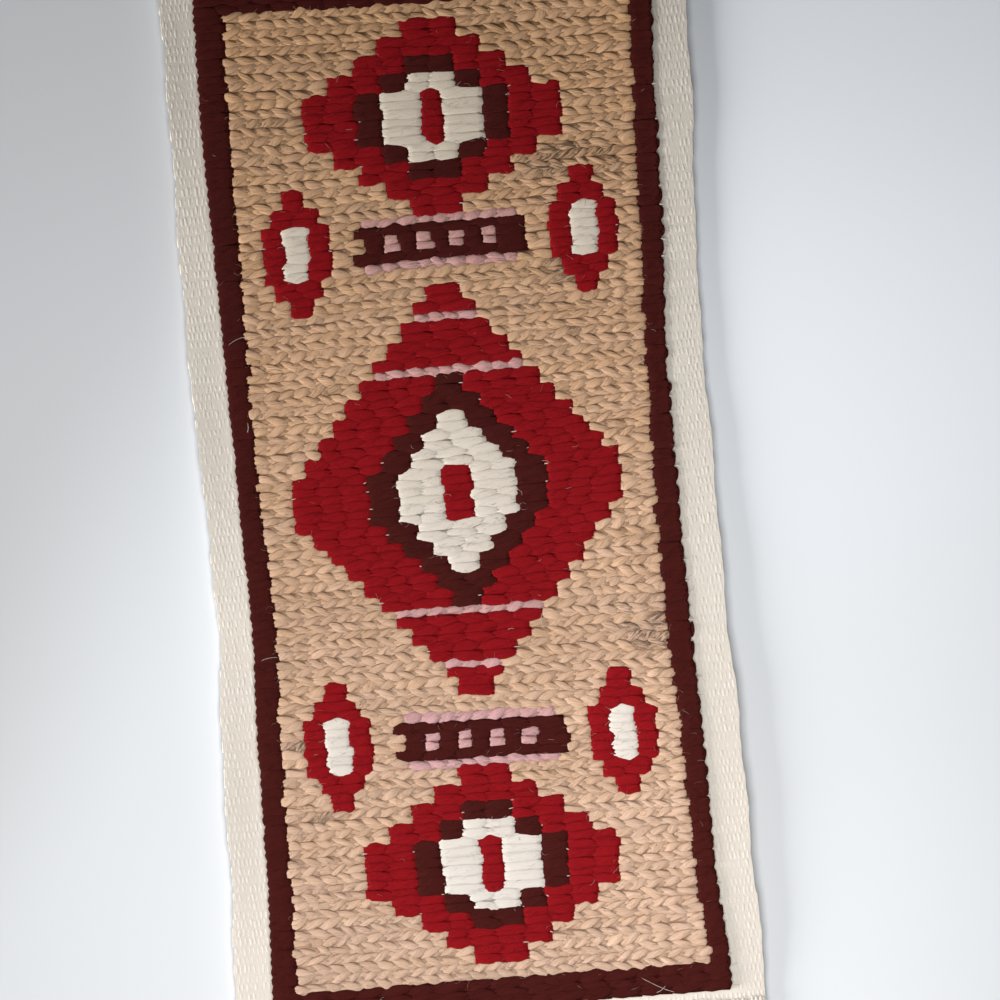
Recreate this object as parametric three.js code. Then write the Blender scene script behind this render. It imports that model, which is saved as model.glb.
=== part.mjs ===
// A narrow kilim rug lying flat, face up: an off-white cotton ground cloth with plain margins and
// turned end hems, and a raised wool panel worked in rows of wrapped stitches.
// Millimetres. X runs across the rug, Y along it, and Z up. The origin is under its middle.

import * as THREE from 'three';

// Lengths along the rug.
const RUG_LENGTH = 445;
const PANEL_LENGTH = 412.6;
const HEM_WIDTH = 9;

// Wool rows: two half rows that slant opposite ways make one row of chevrons.
const HALF_ROWS = 116;
const HALF_ROW = PANEL_LENGTH / HALF_ROWS;

// Heights above the surface that the rug lies on.
const EDGE_TOP = 1.5;
const CLOTH_TOP = 2.1;
const CLOTH_RIB = 0.2;
const HEM_TOP = 3.4;
const CREST_TOP = 4.5;
const ROW_GROOVE_TOP = 3.2;
const CHEVRON_GROOVE_TOP = 3.8;
const SHOULDER_DROP = 0.4;

// Widths of the rounded edges.
const SELVEDGE_ROLL = 1.4;
const SELVEDGE_UNDERCUT = 0.4;
const SHOULDER = 1.5;
const END_ROLL = 0.9;

// Where the long edges of the cloth and of the wool panel lie, at stations along the rug.
const OUTLINE = [
  { y: -222.5, clothLeft: -106.5, panelLeft: -91.0, panelRight: 93.0, clothRight: 105.5 },
  { y: -200.0, clothLeft: -106.0, panelLeft: -90.5, panelRight: 93.0, clothRight: 106.0 },
  { y: -150.0, clothLeft: -103.5, panelLeft: -89.0, panelRight: 90.0, clothRight: 104.0 },
  { y: -100.0, clothLeft: -103.0, panelLeft: -88.5, panelRight: 89.5, clothRight: 103.5 },
  { y: -50.0, clothLeft: -100.5, panelLeft: -87.0, panelRight: 88.0, clothRight: 102.0 },
  { y: 0.0, clothLeft: -101.5, panelLeft: -88.0, panelRight: 87.5, clothRight: 102.0 },
  { y: 50.0, clothLeft: -103.5, panelLeft: -89.0, panelRight: 87.5, clothRight: 101.5 },
  { y: 100.0, clothLeft: -104.0, panelLeft: -90.0, panelRight: 90.0, clothRight: 102.5 },
  { y: 150.0, clothLeft: -103.5, panelLeft: -91.0, panelRight: 91.0, clothRight: 105.5 },
  { y: 200.0, clothLeft: -104.0, panelLeft: -90.5, panelRight: 93.0, clothRight: 106.5 },
  { y: 222.5, clothLeft: -104.5, panelLeft: -90.5, panelRight: 93.0, clothRight: 106.5 },
];

// The rows wander a little from the straight, as handwork does: by a tilt and by a bow,
// each a slow wave along the rug with its own size, length and start.
const TILT_WAVES = [
  { size: 2.2, length: 310, start: 0.8 },
  { size: 1.0, length: 125, start: 2.0 },
];
const BOW_WAVE = { size: 1.2, length: 190, start: 1.3 };

// The margins lift a little off the surface, more on the right, in slow waves.
const LIFTS = {
  left: { most: 1.4, length: 150, start: 0.4 },
  right: { most: 3.2, length: 210, start: 2.1 },
};

const HALF_LENGTH = RUG_LENGTH / 2;
const HALF_PANEL_LENGTH = PANEL_LENGTH / 2;
const HALF_PANEL_WIDTH = 90;

function outlineAt(column, y) {
  const next = Math.min(Math.max(OUTLINE.findIndex((station) => station.y >= y), 1), OUTLINE.length - 1);
  const low = OUTLINE[next - 1];
  const high = OUTLINE[next];
  const share = THREE.MathUtils.smoothstep(y, low.y, high.y);
  return THREE.MathUtils.lerp(low[column], high[column], share);
}

function wave({ length, start }, y) {
  return Math.sin((2 * Math.PI * y) / length + start);
}

// How far the rows are shifted along the rug, which fades out at its two straight ends.
function rowShift(x, y) {
  const across = x / HALF_PANEL_WIDTH;
  const fade = 1 - (y / HALF_LENGTH) ** 4;
  const tilt = TILT_WAVES.reduce((sum, each) => sum + each.size * wave(each, y), 0);
  const bow = BOW_WAVE.size * wave(BOW_WAVE, y);
  return fade * (across * tilt + (across ** 2 - 0.4) * bow);
}

function marginLift(side, y) {
  const { most } = LIFTS[side];
  const fade = 1 - (y / HALF_LENGTH) ** 6;
  return fade * most * (0.6 + 0.4 * wave(LIFTS[side], y));
}

// The stations along the rug: each with the height of the plain cloth, and of the wool where it
// is worked, so that the panel's rows stand up as ribs.
function stationsAlong() {
  const end = [
    { y: -HALF_LENGTH, cloth: EDGE_TOP, wool: EDGE_TOP },
    { y: -HALF_LENGTH + END_ROLL, cloth: HEM_TOP, wool: HEM_TOP },
    { y: -HALF_LENGTH + HEM_WIDTH, cloth: HEM_TOP, wool: HEM_TOP },
    { y: -HALF_LENGTH + HEM_WIDTH + END_ROLL, cloth: CLOTH_TOP, wool: CLOTH_TOP },
    { y: -HALF_PANEL_LENGTH, cloth: CLOTH_TOP, wool: CLOTH_TOP },
  ];
  const stations = [...end];
  for (let row = 0; row < HALF_ROWS; row += 1) {
    const start = -HALF_PANEL_LENGTH + row * HALF_ROW;
    if (row > 0) {
      const groove = row % 2 === 0 ? ROW_GROOVE_TOP : CHEVRON_GROOVE_TOP;
      stations.push({ y: start, cloth: CLOTH_TOP, wool: groove });
    }
    stations.push({ y: start + HALF_ROW / 2, cloth: CLOTH_TOP + CLOTH_RIB, wool: CREST_TOP });
  }
  const mirrored = end.map((station) => ({ ...station, y: -station.y }));
  return [...stations, ...mirrored.reverse()];
}

// One closed section across the rug: over the top from left to right, then back underneath.
function sectionAt({ y, cloth, wool }) {
  const clothLeft = outlineAt('clothLeft', y);
  const panelLeft = outlineAt('panelLeft', y);
  const panelRight = outlineAt('panelRight', y);
  const clothRight = outlineAt('clothRight', y);
  const liftLeft = marginLift('left', y);
  const liftRight = marginLift('right', y);
  const shoulder = wool > HEM_TOP ? wool - SHOULDER_DROP : wool;
  const middle = (panelLeft + panelRight) / 2;
  const quarter = (panelRight - panelLeft) / 4;
  const over = [
    [clothLeft, Math.min(EDGE_TOP, cloth) + liftLeft],
    [clothLeft + SELVEDGE_ROLL, cloth + liftLeft],
    [panelLeft, cloth],
    [panelLeft + SHOULDER, shoulder],
    [middle - quarter, wool],
    [middle, wool],
    [middle + quarter, wool],
    [panelRight - SHOULDER, shoulder],
    [panelRight, cloth],
    [clothRight - SELVEDGE_ROLL, cloth + liftRight],
    [clothRight, Math.min(EDGE_TOP, cloth) + liftRight],
  ];
  const under = [
    [clothRight - SELVEDGE_UNDERCUT, liftRight],
    [panelRight, 0],
    [panelLeft, 0],
    [clothLeft + SELVEDGE_UNDERCUT, liftLeft],
  ];
  return [...over, ...under].map(([x, z]) => new THREE.Vector3(x, y + rowShift(x, y), z));
}

// Joins the sections, one after the other along the rug, into a closed body.
function loft(sections) {
  const count = sections[0].length;
  const positions = sections.flat().flatMap((point) => point.toArray());
  const faces = [];
  for (let row = 0; row + 1 < sections.length; row += 1) {
    for (let side = 0; side < count; side += 1) {
      const here = row * count + side;
      const beside = row * count + ((side + 1) % count);
      faces.push([here, beside, beside + count], [here, beside + count, here + count]);
    }
  }
  const outline = sections[0].map((point) => new THREE.Vector2(point.x, point.z));
  const cap = THREE.ShapeUtils.triangulateShape(outline, []);
  const last = (sections.length - 1) * count;
  cap.forEach(([a, b, c]) => faces.push([a, b, c], [last + c, last + b, last + a]));
  const geometry = new THREE.BufferGeometry();
  geometry.setAttribute('position', new THREE.Float32BufferAttribute(positions, 3));
  geometry.setIndex(faces.flat());
  geometry.computeVertexNormals();
  return geometry;
}

const weaving = new THREE.Mesh(
  loft(stationsAlong().map(sectionAt)),
  new THREE.MeshStandardMaterial({ color: 0xb8926d, roughness: 0.95, metalness: 0 }),
);
weaving.name = 'weaving';

const rug = new THREE.Group();
rug.name = 'kilim_rug';
rug.add(weaving);

export default rug;
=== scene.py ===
import math

import bpy
import numpy as np
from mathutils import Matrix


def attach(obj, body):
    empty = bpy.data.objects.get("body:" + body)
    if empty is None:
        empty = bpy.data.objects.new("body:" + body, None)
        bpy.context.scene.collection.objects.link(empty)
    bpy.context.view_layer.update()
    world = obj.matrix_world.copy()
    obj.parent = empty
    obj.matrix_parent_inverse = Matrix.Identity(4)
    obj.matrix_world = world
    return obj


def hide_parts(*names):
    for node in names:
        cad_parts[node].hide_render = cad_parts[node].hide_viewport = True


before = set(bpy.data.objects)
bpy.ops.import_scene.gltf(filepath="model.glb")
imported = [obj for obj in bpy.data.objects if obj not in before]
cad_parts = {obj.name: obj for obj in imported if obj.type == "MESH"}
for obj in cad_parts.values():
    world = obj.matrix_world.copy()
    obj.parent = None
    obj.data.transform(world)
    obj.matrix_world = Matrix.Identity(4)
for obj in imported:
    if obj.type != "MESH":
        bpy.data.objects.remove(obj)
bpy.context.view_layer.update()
bpy.ops.object.select_all(action="DESELECT")

# The rug lies face up on a plain pale table. The camera looks straight down on it, turned so that
# the far end leans to the left. A soft box hangs close over the near end, so the far end is
# dimmer, and a low lamp far off to the left draws a soft shadow along the right edge.
MM = 0.001
PHOTO_PIXELS = 1000
MM_PER_PIXEL = 0.40
RUG_LEAN = math.radians(4.66)
RUG_MIDDLE_PIXEL = (458.5, 490.3)
CAMERA_HEIGHT = 1.3
SENSOR_WIDTH = 36
TABLE_SIDE = 8
TABLE_COLOUR = (0.82, 0.86, 0.92, 1)
# Painted shades multiply the table's colour: darker towards the near end under the soft box, in the far left
# corner, and in a band left of the rug.
TABLE_PAINTED_SHADES = [
    {"times": (0.80, 0.79, 0.775, 1), "way": (0, 1, 0), "start": 0.11, "end": -0.13},
    {"times": (0.73, 0.72, 0.71, 1), "way": (-1.2, 1, 0), "start": 0.05, "end": 0.25},
    {"times": (0.93, 0.93, 0.93, 1), "way": (-1, 0, 0), "start": 0.09, "end": 0.125},
]
SKY_COLOUR = (1.0, 0.98, 0.95, 1)
SKY_STRENGTH = 0.07
LAMPS = [
    {"name": "soft_box", "place": (0.03, -0.19, 0.40), "aim": (0.03, -0.18, 0), "side": 0.32, "power": 2.05},
    {"name": "side_lamp", "place": (-2.35, -0.5, 0.60), "aim": (0, 0, 0), "side": 1.3, "power": 106},
]
LAMP_COLOUR = (1.0, 0.99, 0.97)

bpy.ops.mesh.primitive_plane_add(size=TABLE_SIDE)
table = bpy.context.object
table.name = "table_top"
table_paint = bpy.data.materials.new("pale_table")
table_paint.use_nodes = True
table_shader = table_paint.node_tree.nodes["Principled BSDF"]
table_nodes, table_links = table_paint.node_tree.nodes, table_paint.node_tree.links
table_place = table_nodes.new("ShaderNodeTexCoord").outputs["Object"]
table_tone = table_nodes.new("ShaderNodeRGB").outputs[0]
table_tone.default_value = TABLE_COLOUR
# Each painted shade darkens the table smoothly along its way.
for each in TABLE_PAINTED_SHADES:
    reach = table_nodes.new("ShaderNodeVectorMath")
    reach.operation = "DOT_PRODUCT"
    reach.inputs[1].default_value = each["way"]
    share = table_nodes.new("ShaderNodeMapRange")
    share.interpolation_type = "SMOOTHSTEP"
    share.inputs["From Min"].default_value = each["start"]
    share.inputs["From Max"].default_value = each["end"]
    mix = table_nodes.new("ShaderNodeMix")
    mix.data_type = "RGBA"
    mix.blend_type = "MULTIPLY"
    mix.inputs[7].default_value = each["times"]
    table_links.new(table_place, reach.inputs[0])
    table_links.new(reach.outputs["Value"], share.inputs["Value"])
    table_links.new(share.outputs[0], mix.inputs["Factor"])
    table_links.new(table_tone, mix.inputs[6])
    table_tone = mix.outputs[2]
table_links.new(table_tone, table_shader.inputs["Base Color"])
table_shader.inputs["Roughness"].default_value = 0.7
table_shader.inputs["Specular IOR Level"].default_value = 0.2
table.data.materials.append(table_paint)

sky = bpy.data.worlds.new("soft_sky")
sky.use_nodes = True
sky.node_tree.nodes["Background"].inputs["Color"].default_value = SKY_COLOUR
sky.node_tree.nodes["Background"].inputs["Strength"].default_value = SKY_STRENGTH
bpy.context.scene.world = sky
bpy.context.scene.view_settings.view_transform = "Standard"

for each in LAMPS:
    reach = np.subtract(each["aim"], each["place"])
    tip = math.atan2(math.hypot(reach[0], reach[1]), -reach[2])
    turn = math.atan2(reach[1], reach[0]) - math.pi / 2
    bpy.ops.object.light_add(type="AREA", location=each["place"], rotation=(tip, 0, turn))
    lamp = bpy.context.object
    lamp.name = each["name"]
    lamp.data.size = each["side"]
    lamp.data.energy = each["power"]
    lamp.data.color = LAMP_COLOUR

view_right = PHOTO_PIXELS / 2 - RUG_MIDDLE_PIXEL[0]
view_up = RUG_MIDDLE_PIXEL[1] - PHOTO_PIXELS / 2
view_x = view_right * math.cos(RUG_LEAN) + view_up * math.sin(RUG_LEAN)
view_y = view_up * math.cos(RUG_LEAN) - view_right * math.sin(RUG_LEAN)
bpy.ops.object.camera_add(
    location=(view_x * MM_PER_PIXEL * MM, view_y * MM_PER_PIXEL * MM, CAMERA_HEIGHT),
    rotation=(0, 0, -RUG_LEAN),
)
camera = bpy.context.object
camera.data.sensor_width = SENSOR_WIDTH
camera.data.lens = SENSOR_WIDTH * CAMERA_HEIGHT / (PHOTO_PIXELS * MM_PER_PIXEL * MM)
camera.data.dof.use_dof = False
bpy.context.scene.camera = camera

# The ground cloth is woven from off-white cotton and carries all the wool. Its long edges are
# uneven selvedges, its sides lift a little, the right more, and each end is turned under in a hem.
RUG_LENGTH = 445.0
PANEL_LENGTH = 412.6
HALF_ROWS = 116
HALF_ROW = PANEL_LENGTH / HALF_ROWS
HALF_LENGTH = RUG_LENGTH / 2
HALF_PANEL_WIDTH = 90.0
OUTLINE = [
    {"y": -222.5, "cloth_left": -106.5, "panel_left": -91.0, "panel_right": 93.0, "cloth_right": 106.0},
    {"y": -200.0, "cloth_left": -106.0, "panel_left": -90.5, "panel_right": 93.0, "cloth_right": 106.8},
    {"y": -150.0, "cloth_left": -103.5, "panel_left": -89.0, "panel_right": 90.0, "cloth_right": 105.4},
    {"y": -100.0, "cloth_left": -103.0, "panel_left": -88.5, "panel_right": 89.5, "cloth_right": 104.8},
    {"y": -50.0, "cloth_left": -100.5, "panel_left": -87.0, "panel_right": 88.0, "cloth_right": 103.0},
    {"y": 0.0, "cloth_left": -101.5, "panel_left": -88.0, "panel_right": 87.5, "cloth_right": 102.9},
    {"y": 50.0, "cloth_left": -103.5, "panel_left": -89.0, "panel_right": 87.5, "cloth_right": 102.2},
    {"y": 100.0, "cloth_left": -104.0, "panel_left": -90.0, "panel_right": 90.0, "cloth_right": 103.4},
    {"y": 150.0, "cloth_left": -103.5, "panel_left": -91.0, "panel_right": 91.0, "cloth_right": 106.2},
    {"y": 200.0, "cloth_left": -104.0, "panel_left": -90.5, "panel_right": 93.0, "cloth_right": 107.0},
    {"y": 222.5, "cloth_left": -104.5, "panel_left": -90.5, "panel_right": 93.0, "cloth_right": 107.0},
]
TILT_WAVES = [
    {"size": 2.2, "length": 310, "start": 0.8},
    {"size": 1.0, "length": 125, "start": 2.0},
]
BOW_WAVE = {"size": 1.2, "length": 190, "start": 1.3}
EDGE_WAVES = [
    {"size": 0.22, "length": 13, "start": 0.6},
    {"size": 0.35, "length": 47, "start": 2.4},
]
EDGE_OFFSETS = {"left": 0.0, "right": 31.0}
LIFTS = [
    {"side": "left", "from": 0, "to": 17, "most": 1.5, "length": 150, "start": 0.4},
    {"side": "right", "from": -60, "to": 4, "most": 4.5, "length": 430, "start": 3.5},
    {"side": "right", "from": -3, "to": 3, "most": 1.8, "length": 900, "start": 0.5},
]
CLOTH_THICKNESS = 1.1
CLOTH_MIDDLE = 1.4
CLOTH_INSET = 0.7
HEM_WIDTH = 9.0
HEM_UPPER_MIDDLE = 2.6
HEM_LOWER_MIDDLE = 1.0
HEM_STEP = 1.8
CLOTH_STEP = 4.5
CLOTH_COLUMNS = 92
# The cotton's darkest colour is painted shade, laid down the sides of its yarns and in low places.
COTTON = {
    "light": (0.667, 0.644, 0.574, 1),
    "dark": (0.645, 0.620, 0.550, 1),
    "pocket_shade": (0.630, 0.604, 0.534, 1),
    "crease_shade": (0.5, 1.0),
    "sheen": 0.04,
    "soft": 0.1,
    "relief": 0.25,
}


def smooth(share):
    """Shares from 0 to 1, eased at both ends."""
    share = np.clip(share, 0, 1)
    return share * share * (3 - 2 * share)


def wave(shape, y):
    return np.sin(2 * np.pi * y / shape["length"] + shape["start"])


def outline_at(column, y, table=OUTLINE):
    """A value from a table of stations along the rug, at y, all in millimetres."""
    stations = np.array([station["y"] for station in table])
    places = np.array([station[column] for station in table])
    high = np.clip(np.searchsorted(stations, y), 1, len(stations) - 1)
    share = smooth((y - stations[high - 1]) / (stations[high] - stations[high - 1]))
    return places[high - 1] + (places[high] - places[high - 1]) * share


def cloth_edge(side, y):
    """Where a long edge of the cloth lies, with its small waves."""
    waves = sum(each["size"] * wave(each, y + EDGE_OFFSETS[side]) for each in EDGE_WAVES)
    return outline_at("cloth_" + side, y) + waves


def row_shift(x, y):
    """How far the rows wander along the rug."""
    across = x / HALF_PANEL_WIDTH
    fade = 1 - np.clip(np.abs(y) / HALF_LENGTH, 0, 1) ** 4
    tilt = sum(each["size"] * wave(each, y) for each in TILT_WAVES)
    bow = BOW_WAVE["size"] * wave(BOW_WAVE, y)
    return fade * (across * tilt + (across**2 - 0.4) * bow)


def side_lift(x, y):
    """How far the long sides stand off the table: each lift climbs beside its edge of the panel."""
    fade = 1 - np.clip(np.abs(y) / HALF_LENGTH, 0, 1) ** 10
    lift = np.zeros_like(x)
    for each in LIFTS:
        past_edge = np.abs(x) - np.abs(outline_at("panel_" + each["side"], y))
        climb = smooth((past_edge - each["from"]) / (each["to"] - each["from"]))
        here = (x > 0) == (each["side"] == "right")
        lift += here * climb * fade * each["most"] * (0.6 + 0.4 * wave(each, y))
    return lift


def laid(points):
    """Takes points from the even weave, in millimetres, to where they lie, in metres."""
    x, y, z = points[..., 0], points[..., 1], points[..., 2]
    return np.stack([x, y + row_shift(x, y), z + side_lift(x, y)], axis=-1) * MM


def hem_path():
    """Distance from the rug's middle, and height, along one end: the turned-in edge first."""
    fold = (HEM_UPPER_MIDDLE - HEM_LOWER_MIDDLE) / 2
    fold_centre = HALF_LENGTH - fold - CLOTH_THICKNESS / 2
    inner_edge = HALF_LENGTH - HEM_WIDTH
    path = [(inner_edge, HEM_LOWER_MIDDLE), ((inner_edge + fold_centre) / 2, HEM_LOWER_MIDDLE)]
    for turn in np.linspace(-90, 90, 9):
        angle = math.radians(turn)
        height = HEM_LOWER_MIDDLE + fold + fold * math.sin(angle)
        path.append((fold_centre + fold * math.cos(angle), height))
    path.append(((inner_edge + fold_centre) / 2, HEM_UPPER_MIDDLE))
    path.append((inner_edge, HEM_UPPER_MIDDLE))
    path.append((inner_edge - HEM_STEP / 2, (HEM_UPPER_MIDDLE + CLOTH_MIDDLE) / 2))
    path.append((inner_edge - HEM_STEP, CLOTH_MIDDLE))
    return path


end_path = hem_path()
flat_reach = end_path[-1][0]
flat_rows = int(2 * flat_reach / CLOTH_STEP)
flat_path = [(y, CLOTH_MIDDLE) for y in np.linspace(-flat_reach, flat_reach, flat_rows)[1:-1]]
near_path = [(-y, z) for y, z in end_path]
cloth_path = np.array(near_path + flat_path + end_path[::-1])

bpy.ops.mesh.primitive_grid_add(
    x_subdivisions=CLOTH_COLUMNS, y_subdivisions=len(cloth_path) - 1, size=2
)
ground = bpy.context.object
ground.name = "cotton_ground"
corners = np.zeros(len(ground.data.vertices) * 3, np.float32)
ground.data.vertices.foreach_get("co", corners)
corners = corners.reshape(-1, 3).astype(float)
path_row = np.rint((corners[:, 1] + 1) / 2 * (len(cloth_path) - 1)).astype(int)
cloth_y = cloth_path[path_row, 0]
left_edge = cloth_edge("left", cloth_y) + CLOTH_INSET
right_edge = cloth_edge("right", cloth_y) - CLOTH_INSET
cloth_x = left_edge + (right_edge - left_edge) * (corners[:, 0] + 1) / 2
ground_points = laid(np.stack([cloth_x, cloth_y, cloth_path[path_row, 1]], axis=-1))
ground.data.vertices.foreach_set("co", ground_points.astype(np.float32).ravel())
ground.data.update()
thicken = ground.modifiers.new("thickness", "SOLIDIFY")
thicken.thickness = CLOTH_THICKNESS * MM
thicken.offset = 0
bpy.ops.object.modifier_apply(modifier=thicken.name)
bpy.ops.object.shade_smooth_by_angle(angle=math.radians(50))


def place_node(tree, kind, sockets=None, **settings):
    """A shader node with its settings, its sockets set to values or joined to other nodes."""
    made = tree.nodes.new(kind)
    for name, value in settings.items():
        setattr(made, name, value)
    for name, value in (sockets or {}).items():
        if isinstance(value, bpy.types.NodeSocket):
            tree.links.new(value, made.inputs[name])
        else:
            made.inputs[name].default_value = value
    return made


def maths(tree, operation, *values):
    return place_node(tree, "ShaderNodeMath", dict(enumerate(values)), operation=operation).outputs[0]


def ranged(tree, value, low, high, to_low=0.0, to_high=1.0):
    """A value stretched from one range to another, and kept inside it."""
    sockets = {"Value": value, "From Min": low, "From Max": high, "To Min": to_low, "To Max": to_high}
    return place_node(tree, "ShaderNodeMapRange", sockets).outputs[0]


def blended(tree, factor, first, second, blend_type="MIX"):
    sockets = {"Factor": factor, 6: first, 7: second}
    mix = place_node(tree, "ShaderNodeMix", sockets, data_type="RGBA", blend_type=blend_type)
    return mix.outputs[2]


def kept_value(tree, name):
    return place_node(tree, "ShaderNodeAttribute", attribute_name=name).outputs["Fac"]


PLIES = 4
# Uneven dyeing, and a painted slope of light along the rug, take a yarn from a yellower to a pinker tone.
TINGES = ((1.0, 0.90, 0.78, 1), (1.0, 1.02, 1.16, 1))


def yarn_fibres_group():
    """Strands and fibres along a yarn, from its own map and a seed, its sides, and fluff."""
    group = bpy.data.node_groups.new("yarn_fibres", "ShaderNodeTree")
    for name, kind in (("Map", "NodeSocketVector"), ("Seed", "NodeSocketFloat"), ("Twist", "NodeSocketFloat")):
        group.interface.new_socket(name, in_out="INPUT", socket_type=kind)
    for name in ("Plies", "Strands", "Fibres", "Side", "Fluff"):
        group.interface.new_socket(name, in_out="OUTPUT", socket_type="NodeSocketFloat")
    given = group.nodes.new("NodeGroupInput")
    along = place_node(group, "ShaderNodeSeparateXYZ", {0: given.outputs["Map"]})
    wound = maths(group, "MULTIPLY_ADD", along.outputs[0], given.outputs["Twist"], along.outputs[1])
    angle = maths(group, "MULTIPLY", wound, 2 * math.pi)
    seed = maths(group, "MULTIPLY_ADD", given.outputs["Seed"], 37.0, along.outputs[0])
    round_yarn = {0: maths(group, "COSINE", angle), 1: maths(group, "SINE", angle), 2: seed}
    ring = place_node(group, "ShaderNodeCombineXYZ", round_yarn).outputs[0]
    place = place_node(group, "ShaderNodeTexCoord").outputs["Object"]
    out = group.nodes.new("NodeGroupOutput")
    noises = (
        ("Strands", ring, 1.7, 1.5),
        ("Fibres", ring, 5.5, 2.5),
        ("Fluff", place, 2600.0, 2.0),
    )
    made = {}
    for name, vector, scale, detail in noises:
        noise = place_node(group, "ShaderNodeTexNoise", {"Vector": vector, "Scale": scale, "Detail": detail})
        made[name] = noise.outputs["Fac"]
        group.links.new(made[name], out.inputs[name])
    bent = maths(group, "MULTIPLY_ADD", made["Strands"], 1.6, maths(group, "MULTIPLY", wound, PLIES))
    plies = maths(group, "ABSOLUTE", maths(group, "SINE", maths(group, "MULTIPLY", bent, math.pi)))
    group.links.new(plies, out.inputs["Plies"])
    round_top = maths(group, "MULTIPLY", along.outputs[1], 2 * math.pi)
    aside = maths(group, "ABSOLUTE", maths(group, "SINE", round_top))
    group.links.new(aside, out.inputs["Side"])
    return group


yarn_fibres = yarn_fibres_group()


def yarn_material(name, look, twist=0.3, fleck=None):
    """Matte yarn in strands from dark to light, painted darker in the grooves between its plies, down its
    sides and in its low places.
    """
    material = bpy.data.materials.new(name)
    material.use_nodes = True
    tree = material.node_tree
    shader = tree.nodes["Principled BSDF"]
    shader.inputs["Roughness"].default_value = 0.92
    shader.inputs["Specular IOR Level"].default_value = 0.05
    shader.inputs["Sheen Weight"].default_value = look["sheen"]
    shader.inputs["Sheen Roughness"].default_value = 0.5
    shader.inputs["Sheen Tint"].default_value = look["light"]
    shader.inputs["Subsurface Weight"].default_value = look["soft"]
    shader.inputs["Subsurface Scale"].default_value = 1.2 * MM
    shader.inputs["Subsurface Radius"].default_value = (1.0, 0.92, 0.85)
    own_map = place_node(tree, "ShaderNodeUVMap", uv_map="yarn").outputs[0]
    fibres = place_node(tree, "ShaderNodeGroup", node_tree=yarn_fibres)
    tree.links.new(own_map, fibres.inputs["Map"])
    tree.links.new(kept_value(tree, "seed"), fibres.inputs["Seed"])
    fibres.inputs["Twist"].default_value = twist
    strands, fine, fluff = (fibres.outputs[each] for each in ("Strands", "Fibres", "Fluff"))
    body = maths(tree, "MULTIPLY_ADD", fine, 0.4, maths(tree, "MULTIPLY", strands, 0.6))
    # Painted shade: the grooves between the plies are painted darker.
    between = ranged(tree, fibres.outputs["Plies"], 0.0, 0.45)
    ridge = maths(tree, "MULTIPLY_ADD", between, 0.6, 0.4)
    tint = maths(tree, "MULTIPLY", ranged(tree, body, 0.40, 0.59), ridge)
    colour = blended(tree, tint, look["dark"], look["light"])
    if fleck is not None:
        streak = ranged(tree, body, 0.49, 0.43, 0.15, 0.88)
        amount = maths(tree, "MULTIPLY", kept_value(tree, "fleck"), streak)
        colour = blended(tree, amount, colour, fleck)
    # Painted shade: the yarn's sides, and its low places by their depth value, are blended to its darkest
    # colour.
    crown = ranged(tree, fibres.outputs["Side"], *look["crease_shade"], 1.0, 0.0)
    colour = blended(tree, maths(tree, "MULTIPLY", kept_value(tree, "depth"), crown), look["pocket_shade"], colour)
    toned = blended(tree, 1.0, colour, kept_value(tree, "shade"), "MULTIPLY")
    tinge = blended(tree, kept_value(tree, "blush"), *TINGES)
    tree.links.new(blended(tree, 1.0, toned, tinge, "MULTIPLY"), shader.inputs["Base Color"])
    relief = maths(tree, "MULTIPLY_ADD", fluff, 0.3, maths(tree, "MULTIPLY_ADD", between, 0.14, body))
    bump_sockets = {"Height": relief, "Strength": 1.0, "Distance": look["relief"] * MM}
    bump = place_node(tree, "ShaderNodeBump", bump_sockets)
    tree.links.new(bump.outputs[0], shader.inputs["Normal"])
    return material


def set_values(mesh, values):
    """Plain numbers kept on a mesh for its material to read, one for each corner point."""
    for name, numbers in values.items():
        numbers = np.broadcast_to(numbers, len(mesh.vertices)).astype(np.float32)
        mesh.attributes.new(name, "FLOAT", "POINT").data.foreach_set("value", numbers)


cotton = yarn_material("cotton", COTTON)
ground.data.materials.append(cotton)
# The ground cloth takes a tenth of the painted shade all over.
set_values(ground.data, {"seed": 0.5, "shade": 0.96, "depth": 0.9, "blush": 0.5})
ground.data.uv_layers[0].name = "yarn"
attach(ground, "root")
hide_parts("weaving")

# The margins and hems show the cotton warp: thick yarns side by side, each coming up as a short
# grain over every second weft. The weft turns round the outermost yarns at both selvedges.
WARP_YARNS = 120
CLOTH_WIDTH = 208
PICKS = 125
GRAIN_LENGTH = 5.9
GRAIN_WIDTH = CLOTH_WIDTH / WARP_YARNS * 1.08
GRAIN_HEIGHT = 0.95
GRAIN_TOP = 2.035
GRAIN_RISE = 0.10
END_ROLL = 1.3
PANEL_CLEARANCE = 0.4
LOOP = {"length": 5.2, "width": 1.8, "height": 1.15}
rng = np.random.default_rng(7)


def spaced_shares(count):
    """Shares of a yarn body's length where its rings lie, closer together at its two tips."""
    return (1 - np.cos(np.pi * np.arange(1, count + 1) / (count + 1))) / 2


def even_turns(sides):
    """Where the corners of a round section lie, as shares of a turn from its top."""
    return np.arange(sides) / sides


def body_pattern(shares, turns):
    """The faces of one yarn body, and the place of each of their corners on the yarn's map."""
    faces, places = [], []
    rings, sides = len(shares), len(turns)
    last = rings * sides + 1
    for side in range(sides):
        after = (side + 1) % sides
        around, onward = turns[side], [*turns, 1.0][side + 1]
        faces.append((0, 1 + after, 1 + side))
        places += [(0, around), (shares[0], onward), (shares[0], around)]
        for ring in range(rings - 1):
            here, there = 1 + ring * sides, 1 + (ring + 1) * sides
            faces.append((here + side, here + after, there + after, there + side))
            places += [(shares[ring], around), (shares[ring], onward)]
            places += [(shares[ring + 1], onward), (shares[ring + 1], around)]
        top = 1 + (rings - 1) * sides
        faces.append((top + side, top + after, last))
        places += [(shares[-1], around), (shares[-1], onward), (1, around)]
    return faces, places


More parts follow.
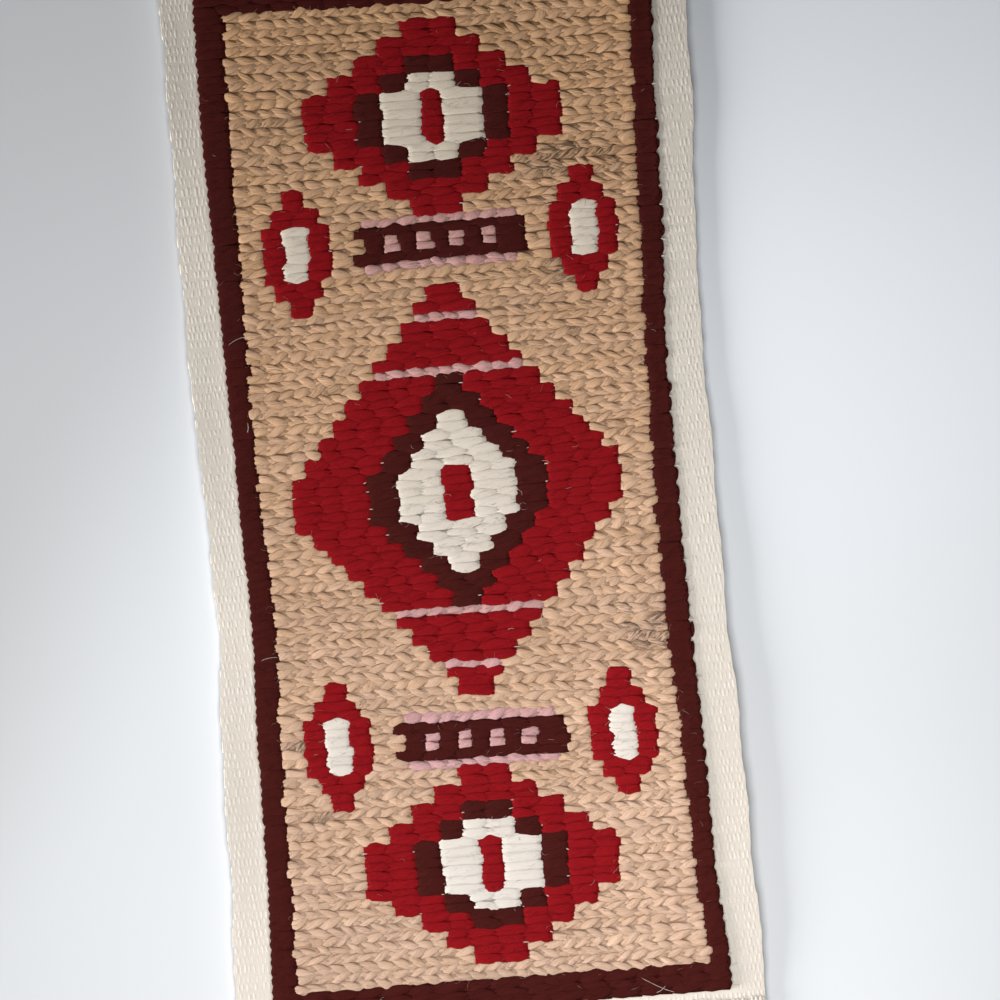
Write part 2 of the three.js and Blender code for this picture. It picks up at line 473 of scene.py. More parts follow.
def yarn_tubes(centre, width, height, girth, turns, square=(0.85, 0.75)):
    """Closed yarns round centre lines of shape (yarns, points, 3), pointed at both ends.

    square shapes the section's width and height: 1 is round, and less is flatter on top."""
    run = centre[:, 2:] - centre[:, :-2]
    level = np.hypot(run[..., 0], run[..., 1]) + 1e-6
    aside = np.stack([-run[..., 1] / level, run[..., 0] / level, np.zeros_like(level)], axis=-1)
    angle = np.pi / 2 + 2 * np.pi * turns
    flat = np.sign(np.cos(angle)) * np.abs(np.cos(angle)) ** square[0]
    tall = np.sign(np.sin(angle)) * np.abs(np.sin(angle)) ** square[1]
    half_width = girth * np.reshape(width, (-1, 1)) / 2
    half_height = girth**0.6 * np.reshape(height, (-1, 1)) / 2
    rings = centre[:, 1:-1, None] + aside[:, :, None] * (half_width[..., None] * flat)[..., None]
    rings[..., 2] += half_height[..., None] * tall
    inner = rings.reshape(len(centre), -1, 3)
    return np.concatenate([centre[:, :1], inner, centre[:, -1:]], axis=1)


def yarn_bodies(start, end, width, height, rise, power, shares, turns, lean=0.4, square=(0.85, 0.75)):
    """Rounded lengths of yarn from start to end points, in millimetres, their middles raised.

    power shapes the two tips of each: 0.5 is blunt and 0.9 is pointed. Part of the climb in y,
    lean, is eased into an S."""
    path = np.concatenate([[0.0], shares, [1.0]])
    start, end = np.asarray(start, float), np.asarray(end, float)
    run = end - start
    centre = start[:, None] + run[:, None] * path[None, :, None]
    eased = (1 - np.cos(np.pi * path)) / 2 - path
    centre[..., 1] += lean * run[:, 1:2] * eased[None]
    centre[..., 2] += np.reshape(rise, (-1, 1)) * np.sin(np.pi * path)[None] ** 0.75
    count = len(start)
    near, far = (np.broadcast_to(each, count)[:, None] for each in power)
    tip = np.where(near < 0.4, 0.12, np.where(near < 0.6, 0.2, 0.48))
    tail = np.where(far < 0.4, 0.12, np.where(far < 0.6, 0.2, 0.48))
    girth = np.sin(np.pi / 2 * np.minimum(shares[None] / tip, 1)) ** near
    girth *= np.sin(np.pi / 2 * np.minimum((1 - shares[None]) / tail, 1)) ** far
    girth *= 1 + 0.08 * np.sin(rng.uniform(0, 2 * np.pi, (count, 1)) + 5 * shares[None])
    return yarn_tubes(centre, width, height, girth, turns, square)


def joined_yarns(name, groups, material):
    """One mesh of many yarns. Each group has its points, its face pattern and its values."""
    points, faces, places, values, offset = [], [], [], {}, 0
    for group in groups:
        count, size = group["points"].shape[:2]
        if count == 0:
            continue
        pattern, map_places = group["pattern"]
        for body in range(count):
            base = offset + body * size
            faces += [tuple(base + corner for corner in face) for face in pattern]
        offset += count * size
        points.append(group["points"].reshape(-1, 3))
        places.append(np.tile(np.array(map_places), (count, 1)))
        for key, numbers in group["values"].items():
            values.setdefault(key, []).append(np.broadcast_to(numbers, (count, size)).ravel())
    mesh = bpy.data.meshes.new(name)
    mesh.from_pydata(laid(np.concatenate(points)).tolist(), [], faces)
    mesh.uv_layers.new(name="yarn")
    mesh.uv_layers["yarn"].data.foreach_set("uv", np.concatenate(places).astype(np.float32).ravel())
    set_values(mesh, {key: np.concatenate(numbers) for key, numbers in values.items()})
    mesh.polygons.foreach_set("use_smooth", np.ones(len(mesh.polygons), bool))
    mesh.materials.append(material)
    mesh.update()
    piece = bpy.data.objects.new(name, mesh)
    bpy.context.scene.collection.objects.link(piece)
    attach(piece, "root")
    return piece


def yarn_group(points, shares, turns, shade, depth, fleck=0.0, blush=0.5):
    """Yarn points with their pattern, a seed and tone for each yarn, and how deep each point is, which sets
    how much painted shade it takes.
    """
    count = len(points)
    values = {
        "seed": rng.uniform(0, 1, count)[:, None],
        "shade": np.broadcast_to(shade, count)[:, None],
        "depth": np.clip(depth, 0, 1) * np.ones(points.shape[:2]),
        "fleck": np.broadcast_to(fleck, count)[:, None],
        "blush": np.broadcast_to(blush, count)[:, None],
    }
    return {"points": points, "pattern": body_pattern(shares, turns), "values": values}


def grain_places():
    """Where the warp grains that show have their middles, and whether each is on a hem."""
    places = []
    for pick in range(PICKS):
        y = -HALF_LENGTH + (pick + 0.5) * RUG_LENGTH / PICKS
        left, right = cloth_edge("left", y), cloth_edge("right", y)
        share = (np.arange(1, WARP_YARNS) + 0.5 * (pick % 2)) / (WARP_YARNS + 0.5)
        x = left + (right - left) * share
        beside = (x < outline_at("panel_left", y) - PANEL_CLEARANCE) | (
            x > outline_at("panel_right", y) + PANEL_CLEARANCE
        )
        x = x[beside | (abs(y) > PANEL_LENGTH / 2 + HALF_ROW / 2)]
        places += [(each, y, abs(y) > HALF_LENGTH - HEM_WIDTH) for each in x]
    return np.array(places, float)


grain_x, grain_y, on_hem = grain_places().T
grain_shares = spaced_shares(4)
grain_x = grain_x + rng.normal(0, 0.12, len(grain_x))
grain_y = grain_y + rng.normal(0, 0.25, len(grain_x))
grain_tone = np.clip(rng.normal(1.0, 0.02, len(grain_x)), 0.95, 1.05)
GRAIN_FACES = [
    ("cotton_warp_grains", 1, np.array([0, 0.09, 0.18, 0.33, 0.67, 0.82, 0.91])),
    ("cotton_warp_backs", -1, even_turns(5)),
]
for name, up, grain_turns in GRAIN_FACES:
    hem_shift = on_hem * (HEM_UPPER_MIDDLE - CLOTH_MIDDLE if up > 0 else CLOTH_MIDDLE - HEM_LOWER_MIDDLE)
    middle = CLOTH_MIDDLE + up * (GRAIN_TOP - CLOTH_MIDDLE - GRAIN_HEIGHT / 2 - GRAIN_RISE)
    tip_z = middle + up * hem_shift + rng.normal(0, 0.015, len(grain_x))
    reach = GRAIN_LENGTH / 2 * rng.normal(1, 0.1, len(grain_x))
    lean = rng.normal(0, 0.22, len(grain_x))
    near_y = np.maximum(grain_y - reach, END_ROLL - HALF_LENGTH)
    far_y = np.minimum(grain_y + reach, HALF_LENGTH - END_ROLL)
    near = np.stack([grain_x - lean, near_y, tip_z], -1)
    far = np.stack([grain_x + lean, far_y, tip_z], -1)
    points = yarn_bodies(
        near, far, GRAIN_WIDTH, GRAIN_HEIGHT, up * GRAIN_RISE, (0.7, 0.7), grain_shares, grain_turns
    )
    # Grain points near the cloth's middle layer take painted shade.
    height = up * (points[..., 2] - (CLOTH_MIDDLE + up * hem_shift)[:, None])
    grains = yarn_group(points, grain_shares, grain_turns, grain_tone, height / 0.6)
    joined_yarns(name, [grains], cotton)

loop_y = -HALF_LENGTH + (np.arange(PICKS) + 0.5) * RUG_LENGTH / PICKS
loop_shares, loop_turns = spaced_shares(5), even_turns(7)
loop_groups = []
for side, sign in (("left", -1), ("right", 1)):
    hem_height = (np.abs(loop_y) > HALF_LENGTH - HEM_WIDTH) * 0.9
    loop_x = cloth_edge(side, loop_y) - sign * (LOOP["width"] / 2 + 0.1)
    loop_x = loop_x - sign * np.clip(np.abs(rng.normal(0, 0.3, PICKS)), 0, 0.7)
    reach = LOOP["length"] / 2
    near = np.stack([loop_x - sign * 0.3, loop_y - reach, CLOTH_MIDDLE + hem_height / 2], -1)
    far = np.stack([loop_x - sign * 0.3, loop_y + reach, CLOTH_MIDDLE + hem_height / 2], -1)
    size = LOOP["height"] + hem_height
    points = yarn_bodies(near, far, LOOP["width"], size, 0.0, (0.5, 0.5), loop_shares, loop_turns)
    tone = rng.normal(1.0, 0.04, PICKS)
    # Selvedge loops take painted shade towards their undersides.
    loop_groups.append(yarn_group(points, loop_shares, loop_turns, tone, points[..., 2] / 1.2))
joined_yarns("cotton_selvedges", loop_groups, cotton)

# Each hem is sewn down by hand in cotton thread. The thread pricks through to the face in short
# stitches, and slants over the turned edge on the underside.
HEM_THREAD = {"pitch": 7.0, "width": 0.7, "height": 0.45}
HEM_SIDES = [
    {"from_edge": 7.8, "run": (2.4, 0.0), "near_z": 3.38, "far_z": 3.38},
    {"from_edge": 10.6, "run": (2.2, 3.4), "near_z": 0.60, "far_z": 0.28},
]
thread_shares, thread_turns = spaced_shares(4), even_turns(6)
thread_x = np.arange(-98.0, 98.0, HEM_THREAD["pitch"])
thread_groups = []
for sign in (-1, 1):
    for side in HEM_SIDES:
        near_x = thread_x + rng.normal(0, 0.4, len(thread_x))
        near_y = sign * (HALF_LENGTH - side["from_edge"]) + rng.normal(0, 0.15, len(thread_x))
        run_x, run_y = side["run"]
        near = np.stack([near_x, near_y, np.full(len(near_x), side["near_z"])], -1)
        far = np.stack([near_x + run_x, near_y + sign * run_y, np.full(len(near_x), side["far_z"])], -1)
        points = yarn_bodies(
            near, far, HEM_THREAD["width"], HEM_THREAD["height"], 0.0, (0.5, 0.5), thread_shares, thread_turns
        )
        thread_groups.append(yarn_group(points, thread_shares, thread_turns, 1.04, 1.0))
joined_yarns("cotton_hem_stitches", thread_groups, cotton)

# The wool panel is worked row by row in thick handspun yarn, each stitch wrapped over the warp
# on a slant that turns the other way at the next half row. It carries stepped kilim motifs.
FRAME_WIDTHS = [
    {"y": -200, "left": 9.6, "right": 7.7},
    {"y": -150, "left": 9.4, "right": 8.0},
    {"y": -100, "left": 9.2, "right": 8.7},
    {"y": -50, "left": 9.4, "right": 9.7},
    {"y": 0, "left": 8.4, "right": 8.9},
    {"y": 50, "left": 8.9, "right": 8.2},
    {"y": 100, "left": 10.0, "right": 8.8},
    {"y": 150, "left": 11.2, "right": 8.3},
    {"y": 200, "left": 11.8, "right": 8.8},
]
FRAME_HALF_ROWS = 3
CHART_STEP = 0.5
RUN_STEPS = 9
PAIR_PULL = 0.15
CREST = 4.5
STITCH_SECTION = (0.8, 0.58)
WRAP = {"width": 5.3, "foot": 0.33, "reach": 1.6, "edge": 0.2}
PAIR_MIDDLE = 27
# Each wool's darkest colour is painted shade, laid down the sides of its yarns and in the hollows between
# them.
WOOL = {
    "tan": {
        "light": (0.560, 0.376, 0.250, 1),
        "dark": (0.480, 0.318, 0.202, 1),
        "pocket_shade": (0.318, 0.192, 0.107, 1),
        "crease_shade": (0.68, 0.96),
        "sheen": 0.06,
        "soft": 0.2,
        "relief": 0.75,
        "plump": 3.6,
        "slant": 2.0,
        "pitch": 6.5,
        "taper": 0.85,
        "tips": (2.9, 3.3),
        "reach": (2.4, 1.5),
        "uneven": 1.0,
        "height": 1.95,
        "fill": 4.23,
        "bed": (0.85, 0.75),
        "painted_light_slope": 0.4,
        "hairs": 2100,
        "lint": 60,
    },
    "red": {
        "light": (0.226, 0.0057, 0.0088, 1),
        "dark": (0.205, 0.0048, 0.0077, 1),
        "pocket_shade": (0.192, 0.0043, 0.0070, 1),
        "crease_shade": (0.6, 1.0),
        "sheen": 0.015,
        "soft": 0.5,
        "relief": 0.5,
        "plump": 4.9,
        "slant": 0.7,
        "pitch": 11.5,
        "taper": 0.75,
        "tips": (3.88, 3.98),
        "reach": (2.8, 2.0),
        "uneven": 0.25,
        "height": 0.7,
        "fill": 4.36,
        "bed": (0.6, 0.45),
        "painted_light_slope": 0.0,
        "hairs": 1300,
        "lint": 40,
    },
    "dark": {
        "light": (0.050, 0.0080, 0.0066, 1),
        "dark": (0.042, 0.0064, 0.0053, 1),
        "pocket_shade": (0.036, 0.0055, 0.0045, 1),
        "crease_shade": (0.6, 1.0),
        "sheen": 0.015,
        "soft": 0.0,
        "relief": 0.5,
        "plump": 5.1,
        "slant": 0.8,
        "pitch": 11.0,
        "taper": 0.75,
        "tips": (3.82, 3.92),
        "reach": (2.8, 2.0),
        "uneven": 0.38,
        "height": 0.8,
        "fill": 4.32,
        "bed": (0.6, 0.45),
        "painted_light_slope": 0.0,
        "hairs": 700,
        "lint": 20,
    },
    "pink": {
        "light": (0.530, 0.320, 0.306, 1),
        "dark": (0.462, 0.268, 0.257, 1),
        "pocket_shade": (0.315, 0.162, 0.156, 1),
        "crease_shade": (0.62, 0.98),
        "sheen": 0.04,
        "soft": 0.2,
        "relief": 0.8,
        "plump": 4.3,
        "slant": 1.4,
        "pitch": 6.8,
        "taper": 0.8,
        "tips": (3.05, 3.35),
        "reach": (2.2, 1.4),
        "uneven": 0.7,
        "height": 1.8,
        "fill": 4.2,
        "bed": (0.7, 0.6),
        "painted_light_slope": 0.2,
        "hairs": 120,
        "lint": 10,
    },
    "white": {
        "light": (0.590, 0.552, 0.480, 1),
        "dark": (0.578, 0.540, 0.468, 1),
        "pocket_shade": (0.562, 0.522, 0.448, 1),
        "crease_shade": (0.65, 1.0),
        "sheen": 0.04,
        "soft": 0.2,
        "relief": 0.35,
        "plump": 5.0,
        "slant": 0.5,
        "pitch": 12.0,
        "taper": 0.75,
        "tips": (3.82, 3.92),
        "reach": (2.8, 2.0),
        "uneven": 0.22,
        "height": 0.85,
        "fill": 4.40,
        "bed": (0.8, 0.7),
        "painted_light_slope": 0.2,
        "hairs": 300,
        "lint": 90,
    },
}
COLOURS = list(WOOL)
GREY_FLECK = (0.058, 0.047, 0.043, 1)
MOTIFS = [
    {
        "name": "lozenge",
        "x": 0,
        "pair": 0,
        "steps": [66, 66, 60, 54, 48, 42, 36, 30, 24, 18, 12, 7],
        "layers": [("red", 30), ("dark", 42), ("white", 60), ("red", 99)],
    },
    {
        "name": "medallion",
        "x": 0,
        "pair": 21,
        "steps": [50, 50, 40, 30, 20, 10],
        "layers": [("red", 20), ("dark", 30), ("white", 46), ("red", 99)],
    },
    {
        "name": "star",
        "x": 57,
        "pair": 14,
        "steps": [13, 13, 9, 4],
        "layers": [("red", 8), ("white", 99)],
    },
]
BAR_PAIRS = (13, 15)
BAR_HALF_WIDTH = 34
BAR_LINE_HALF_WIDTH = 30
BAR_DOT = {"pitch": 13, "width": 6.4}
LOZENGE_LINES = (7, 10)
FLECKS = [
    {"x": -60, "y": 150, "reach_x": 12, "reach_y": 4, "strength": 0.5},
    {"x": 55, "y": 128, "reach_x": 26, "reach_y": 7, "strength": 1.0},
    {"x": 52, "y": 84, "reach_x": 11, "reach_y": 5, "strength": 1.0},
    {"x": 49, "y": 58, "reach_x": 8, "reach_y": 3, "strength": 0.6},
    {"x": 72, "y": -58, "reach_x": 15, "reach_y": 10, "strength": 0.9},
    {"x": -62, "y": -98, "reach_x": 14, "reach_y": 4, "strength": 0.9},
    {"x": -66, "y": -126, "reach_x": 8, "reach_y": 4, "strength": 0.7},
]


def bar_wool(x, half_row):
    """The barred band between lozenge and medallion: half_row counts 0 to 5 through it."""
    if half_row in (0, 5):
        return "pink" if x < BAR_LINE_HALF_WIDTH else "tan"
    if x > BAR_HALF_WIDTH:
        return "tan"
    from_dot = abs(x % BAR_DOT["pitch"] - BAR_DOT["pitch"] / 2)
    on_dot = half_row in (2, 3) and x < BAR_LINE_HALF_WIDTH and from_dot < BAR_DOT["width"] / 2
    return "pink" if on_dot else "dark"


def wool_at(x, row):
    """The colour of the wool at x millimetres from the field's middle, in a half row of it."""
    x = abs(x)
    pair = abs((row - FRAME_HALF_ROWS) // 2 - PAIR_MIDDLE)
    from_middle = abs(row - FRAME_HALF_ROWS - 2 * PAIR_MIDDLE - 0.5)
    if BAR_PAIRS[0] <= pair <= BAR_PAIRS[1] and x < BAR_HALF_WIDTH + 4:
        return bar_wool(x, int(from_middle - 2 * BAR_PAIRS[0] + 0.5))
    if pair in LOZENGE_LINES and x < MOTIFS[0]["steps"][pair] and from_middle % 2 > 1:
        return "pink"
    for motif in MOTIFS:
        away = abs(pair - motif["pair"])
        half_width = motif["steps"][away] if away < len(motif["steps"]) else 0
        from_edge = half_width - abs(x - motif["x"])
        if from_edge > 0:
            return next(wool for wool, inner in motif["layers"] if from_edge < inner)
    return "tan"


def wool_runs():
    """Each half row's runs of one colour: the row, where it starts and ends, and the colour."""
    runs = []
    for row in range(HALF_ROWS):
        y = -PANEL_LENGTH / 2 + (row + 0.5) * HALF_ROW
        left, right = float(outline_at("panel_left", y)), float(outline_at("panel_right", y))
        if not FRAME_HALF_ROWS <= row < HALF_ROWS - FRAME_HALF_ROWS:
            runs.append((row, left, right, "dark"))
            continue
        inner_left = left + float(outline_at("left", y, FRAME_WIDTHS))
        inner_right = right - float(outline_at("right", y, FRAME_WIDTHS))
        middle, scale = (inner_left + inner_right) / 2, (inner_right - inner_left) / 160
        steps = np.arange(inner_left, inner_right, CHART_STEP)
        colours = ["dark", *(wool_at((each - middle) / scale, row) for each in steps), *["dark"] * RUN_STEPS]
        edges = [left, *steps, *[inner_right] * RUN_STEPS]
        start = left
        wool = "dark"
        for index in range(1, len(colours)):
            turn = edges[index] + rng.normal(0, 0.5)
            if colours[index] != wool and colours[index : index + RUN_STEPS] == [colours[index]] * RUN_STEPS:
                runs.append((row, start, turn, wool))
                start, wool = turn, colours[index]
        runs.append((row, start, right, "dark"))
    return runs


def stitch_table(runs):
    """Every stitch: its half row, middle, width, whether it starts or ends a run, its colour."""
    table = []
    for row, left, right, wool in runs:
        count = max(1, round((right - left) / WOOL[wool]["pitch"]))
        lengths = np.clip(rng.normal(1, 0.16, count), 0.65, 1.35)
        ends = left + (right - left) * np.concatenate([[0], np.cumsum(lengths)]) / lengths.sum()
        for index, (start, end) in enumerate(zip(ends, ends[1:])):
            at_start, at_end = index == 0, index == count - 1
            table.append((row, (start + end) / 2, end - start, at_start, at_end, COLOURS.index(wool)))
    return np.array(table, float).T


def of_wool(key):
    """One of the wools' values, for every stitch."""
    return np.array([look[key] for look in WOOL.values()])[colour].T


def yarn_drift(lines, line, x, spacing):
    """A smooth random wander for each of many lines of yarn, at the places x along them."""
    knots = np.clip(rng.normal(0, 1, (lines, int(230 / spacing) + 2)), -1.4, 1.4)
    place = (x + 112) / spacing
    knot = place.astype(int)
    share = smooth(place - knot)
    return knots[line, knot] * (1 - share) + knots[line, knot + 1] * share


runs = wool_runs()
row, middle, pitch, at_left, at_right, colour = stitch_table(runs)
row, colour = row.astype(int), colour.astype(int)
at_left, at_right = at_left > 0, at_right > 0
count = len(row)
# Odd half rows are worked back from the right, so each stitch climbs the other way.
onward = np.where(row % 2 == 0, 1, -1)
starts_run = np.where(onward > 0, at_left, at_right)
ends_run = np.where(onward > 0, at_right, at_left)
row_y = -PANEL_LENGTH / 2 + (row + 0.5) * HALF_ROW + PAIR_PULL * onward
row_y += 0.25 * yarn_drift(HALF_ROWS // 2, row // 2, middle, 34) * (np.abs(row_y) < 195)
row_y += 0.15 * yarn_drift(HALF_ROWS, row, middle, 21) * (np.abs(row_y) < 195)
slant = of_wool("slant") * rng.normal(1.0, 0.27, count)
uneven = of_wool("uneven")
under_reach, over_reach = of_wool("reach")
under_reach = np.where(starts_run, 0.5, rng.normal(under_reach, 0.45))
over_reach = np.where(ends_run, 0.5, rng.normal(over_reach, 0.4))
start_x = middle - onward * (pitch / 2 + under_reach)
end_x = middle + onward * (pitch / 2 + over_reach)
row_left, row_right = outline_at("panel_left", row_y), outline_at("panel_right", row_y)
row_left = row_left + np.abs(rng.normal(0, 0.25, HALF_ROWS))[row]
row_right = row_right - np.abs(rng.normal(0, 0.35, HALF_ROWS))[row]
start_x = np.clip(start_x, row_left, row_right)
end_x = np.clip(end_x, row_left, row_right)
start_y = row_y - slant * np.where(starts_run, 0.25, 1.0) + rng.normal(0, 0.2, count)
end_y = row_y + slant * np.where(ends_run, 0.25, 1.0) + rng.normal(0, 0.2, count)
under_tip, over_tip = of_wool("tips")
start_z = np.where(starts_run, over_tip, under_tip)
end_z = over_tip
thick = 1 + uneven * (0.12 * yarn_drift(HALF_ROWS, row, middle, 26) + rng.normal(0, 0.11, count))
thick = np.clip(thick, 0.66, 1.36)
stitch_height = of_wool("height") * np.clip(thick, 0.88, 1.12)
rise = CREST - stitch_height / 2 - (start_z + end_z) / 2 + uneven * rng.normal(0, 0.11, count)
stitch_shares = spaced_shares(6)
stitch_turns = np.array([0, 0.08, 0.155, 0.225, 0.36, 0.64, 0.775, 0.845, 0.92])
stitch_points = yarn_bodies(
    np.stack([start_x, start_y, start_z], -1),
    np.stack([end_x, end_y, end_z], -1),
    of_wool("plump") * thick,
    stitch_height,
    rise,
    (np.where(starts_run, 0.5, of_wool("taper")), np.where(ends_run, 0.5, of_wool("taper"))),
    stitch_shares,
    stitch_turns,
    square=STITCH_SECTION,
)
# Along the rug each yarn is painted yellower, and in its far half darker, towards the far end, and pinker
# towards the near end: painted shade and light of the soft box over the near end.
blush = 0.5 + uneven * (0.09 * yarn_drift(HALF_ROWS, row, middle, 34) + rng.normal(0, 0.035, count))
blush = np.clip(blush - of_wool("painted_light_slope") * row_y / 150, 0, 1)
tone = 1 + uneven * (0.04 * yarn_drift(HALF_ROWS, row, middle, 40) + rng.normal(0, 0.035, count))
tone = tone - of_wool("painted_light_slope") * np.clip(row_y, 0, None) / 1150
fleck = np.zeros(count)
for patch in FLECKS:
    away = ((middle - patch["x"]) / patch["reach_x"]) ** 2 + ((row_y - patch["y"]) / patch["reach_y"]) ** 2
    chosen = rng.uniform(0, 1, count) < 0.85
    fleck = np.maximum(fleck, patch["strength"] * np.clip(1.5 - away, 0, 1) * chosen)

# Under each stitch its yarn passes round the warp. This wrap fills the hollows between the
# stitches, and shows on the underside as a short float on the opposite slant.
wrap_shares, wrap_turns = spaced_shares(4), even_turns(6)
wrap_left = middle - pitch / 2 - WRAP["reach"]
wrap_right = middle + pitch / 2 + WRAP["reach"]
wrap_left = np.maximum(wrap_left, row_left - WRAP["edge"])
wrap_right = np.minimum(wrap_right, row_right + WRAP["edge"])
wrap_z = (of_wool("fill") + WRAP["foot"]) / 2
wrap_start = np.stack([wrap_left, row_y + 0.25 * onward * slant, wrap_z], -1)
wrap_end = np.stack([wrap_right, row_y - 0.25 * onward * slant, wrap_z], -1)

# Along the right edge the frame's yarn turns from one half row up to the next, in a scallop.
SCALLOP = {"length": 5.3, "width": 1.7, "height": 1.9, "inset": 0.75, "middle": 2.9}
pair_y = -PANEL_LENGTH / 2 + (2 * np.arange(HALF_ROWS // 2) + 1) * HALF_ROW
scallop_x = outline_at("panel_right", pair_y) - SCALLOP["inset"] + rng.normal(0, 0.36, len(pair_y))
half_scallop = SCALLOP["length"] / 2 * rng.uniform(0.6, 1.15, len(pair_y))
scallop_z = np.full(len(pair_y), SCALLOP["middle"])
scallops = yarn_bodies(
    np.stack([scallop_x - 0.3, pair_y - half_scallop, scallop_z], -1),
    np.stack([scallop_x + 0.1, pair_y + half_scallop, scallop_z], -1),
    SCALLOP["width"],
    SCALLOP["height"],
    0.0,
    (0.62, 0.62),
    stitch_shares,
    stitch_turns,
)
scallop_group = yarn_group(scallops, stitch_shares, stitch_turns, 1.0, 1.0)

yarns = {}
for index, (name, look) in enumerate(WOOL.items()):
    yarns[name] = yarn_material(name + "_wool", look, fleck=GREY_FLECK if name == "tan" else None)
    here = colour == index
    parts = {"": here}
    if name == "tan":
        parts = {"_far": here & (row_y > 0), "_near": here & (row_y <= 0)}
    for part, chosen in parts.items():
        front = stitch_points[chosen]
        # Stitch points below the crest take painted shade in the hollows.
        open_depth = (front[..., 2] - 3.0) / 0.7
        given = (tone[chosen], open_depth, fleck[chosen], blush[chosen])
        groups = [yarn_group(front, stitch_shares, stitch_turns, *given)]
        if name == "dark":
            groups.append(scallop_group)
        joined_yarns(name + "_stitches" + part, groups, yarns[name])
    wrap = yarn_bodies(
        wrap_start[here],
        wrap_end[here],
        WRAP["width"],
        look["fill"] - WRAP["foot"],
        0.0,
        (0.35, 0.35),
        wrap_shares,
        wrap_turns,
        square=look["bed"],
    )
    # Painted shade on the wraps: a quarter of it above, and on their undersides from none at the table to full
    # at 1 mm up.
    wrap_depth = np.where(wrap[..., 2] < 1.5, 1.0 - wrap[..., 2], 0.75)
    wraps = yarn_group(wrap, wrap_shares, wrap_turns, tone[here], wrap_depth, fleck[here], blush[here])
    joined_yarns(name + "_wraps", [wraps], yarns[name])

# Where two colours meet, and between the turns at the frame's edges, the yarns part a little and
# the cotton warp shows as pale specks.
SPECK = {"length": 2.6, "width": 0.5, "height": 0.5, "middle": 4.08}
PARTINGS = [({"dark", "red"}, 0.5), ({"red", "tan"}, 0.25)]
EDGE_SPECKS = [
    {"side": "right", "inset": 0.5, "middle": 3.7, "share": 0.5},
    {"side": "left", "inset": -0.6, "middle": 3.3, "share": 0.2},
]
speck_places = []
for (line, _, turn, wool), (next_line, _, _, next_wool) in zip(runs, runs[1:]):
    for pair, share in PARTINGS:
        if line == next_line and {wool, next_wool} == pair and rng.uniform() < share:
            y = (line + 1) * HALF_ROW - PANEL_LENGTH / 2
            speck_places.append((turn + rng.normal(0, 0.4), y + rng.normal(0, 0.2), SPECK["middle"]))
for each in EDGE_SPECKS:
    for y in pair_y + HALF_ROW:
        if rng.uniform() < each["share"]:
            x = float(outline_at("panel_" + each["side"], y)) - each["inset"]
            speck_places.append((x + rng.normal(0, 0.2), y + rng.normal(0, 0.3), each["middle"]))
speck_places = np.array(speck_places)
half_speck = SPECK["length"] / 2 * rng.uniform(0.4, 1.3, len(speck_places))
speck_reach = np.stack([half_speck, rng.normal(0, 0.15, len(speck_places)), np.zeros(len(speck_places))], -1)
specks = yarn_bodies(
    speck_places - speck_reach,
    speck_places + speck_reach,
    SPECK["width"],
    SPECK["height"],
    0.0,
    (0.6, 0.6),
    thread_shares,
    thread_turns,
)
speck_group = yarn_group(specks, thread_shares, thread_turns, 0.8, 1.0, blush=0.4)
joined_yarns("cotton_specks", [speck_group], cotton)

# Loose wool fibres stand off the yarns as a light fuzz. A few of each colour have strayed onto
# the other colours.
HAIR = {"thickness": 0.10, "length": (1.6, 4.6), "foot": 4.25, "top": 5.1}
hair_shares, hair_turns = np.array([0.25, 0.5, 0.75]), even_turns(3)


def hair_paths(foot_x, foot_y, heading):
    """Centre lines of short curved fibres from their feet on the yarns, each with five points."""
    count = len(foot_x)
    share = np.linspace(0, 1, 5)[None]
    length = rng.uniform(*HAIR["length"], (count, 1))
    bend = rng.normal(0, 0.22, (count, 1)) * length
    along, aside = share * length, bend * np.sin(np.pi * share)
    cos, sin = np.cos(heading)[:, None], np.sin(heading)[:, None]
    x = foot_x[:, None] + along * cos - aside * sin
    y = foot_y[:, None] + along * sin + aside * cos
    top = rng.uniform(HAIR["foot"] + 0.3, HAIR["top"], (count, 1))
    z = HAIR["foot"] + (top - HAIR["foot"]) * np.sin(np.pi * share ** rng.uniform(0.5, 1.0, (count, 1)))
    return np.stack([x, y, z], axis=-1)


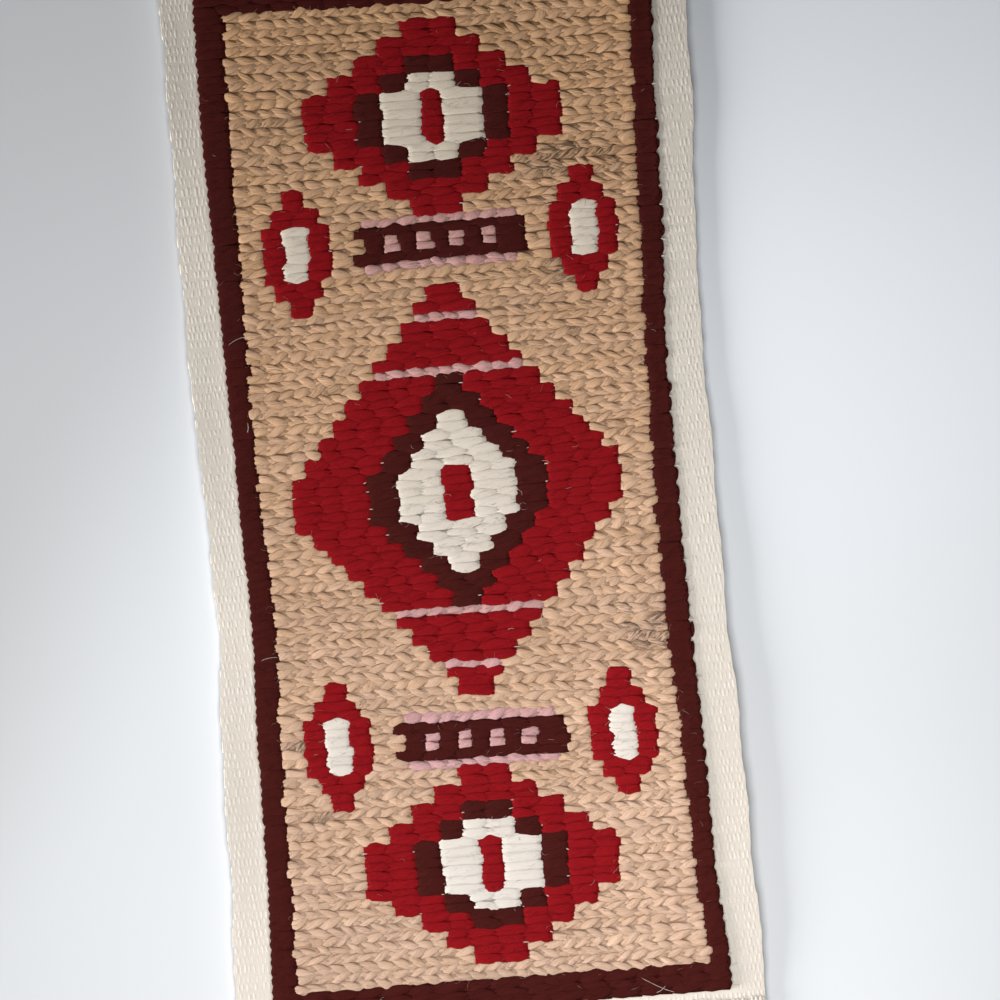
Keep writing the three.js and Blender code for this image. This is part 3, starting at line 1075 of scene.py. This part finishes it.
for index, (name, look) in enumerate(WOOL.items()):
    own_hairs = rng.choice(np.flatnonzero(colour == index), look["hairs"])
    chosen = np.concatenate([own_hairs, rng.choice(count, look["lint"])])
    foot_x = middle[chosen] + rng.uniform(-0.5, 0.5, len(chosen)) * pitch[chosen]
    foot_y = row_y[chosen] + rng.normal(0, 1.0, len(chosen))
    heading = rng.normal(0, 0.7, len(chosen)) + np.pi * rng.integers(0, 2, len(chosen))
    hairs = hair_paths(foot_x, foot_y, heading)
    fine = HAIR["thickness"] * np.ones(len(chosen))
    tubes = yarn_tubes(hairs, fine, fine, np.ones((len(chosen), 3)), hair_turns)
    fuzz = yarn_group(tubes, hair_shares, hair_turns, rng.normal(1.15, 0.12, len(chosen)), 1.0)
    joined_yarns(name + "_fuzz", [fuzz], yarns[name])

# A few longer pale fibres lie loose on the face of the rug, each curled through three points.
STRAY_THICKNESS = 0.2
STRAYS = [
    ((-86.7, 66.2), (-82.9, 68.3), (-79.3, 68.8)),
    ((-81.6, 34.9), (-81.4, 32.9), (-82.0, 30.9)),
    ((-70.8, -54.3), (-69.5, -57.6), (-71.8, -60.7)),
    ((-84.0, -62.9), (-80.7, -61.9), (-76.7, -61.9)),
    ((32.8, -48.3), (28.8, -52.8), (30.0, -58.1)),
    ((15.2, -56.9), (16.5, -56.5), (17.7, -56.7)),
    ((56.6, -199.1), (64.3, -203.8), (70.1, -206.3)),
    ((62.3, -205.9), (64.9, -204.6), (66.3, -202.9)),
]
first, passing, last = np.moveaxis(np.array(STRAYS), 1, 0)
pulled = 2 * passing - (first + last) / 2
share = np.linspace(0, 1, 9)[:, None, None]
curls = (1 - share) ** 2 * first + 2 * share * (1 - share) * pulled + share**2 * last
heights = np.broadcast_to(4.5 + 0.35 * np.sin(np.pi * share), curls.shape[:2] + (1,))
stray_paths = np.moveaxis(np.concatenate([curls, heights], axis=-1), 1, 0)
stray_width = np.full(len(STRAYS), STRAY_THICKNESS)
stray_tubes = yarn_tubes(stray_paths, stray_width, stray_width, np.ones((len(STRAYS), 7)), even_turns(5))
strays = yarn_group(stray_tubes, share[1:-1, 0, 0], even_turns(5), 0.9, 1.0, blush=0.4)
joined_yarns("stray_fibres", [strays], yarns["white"])
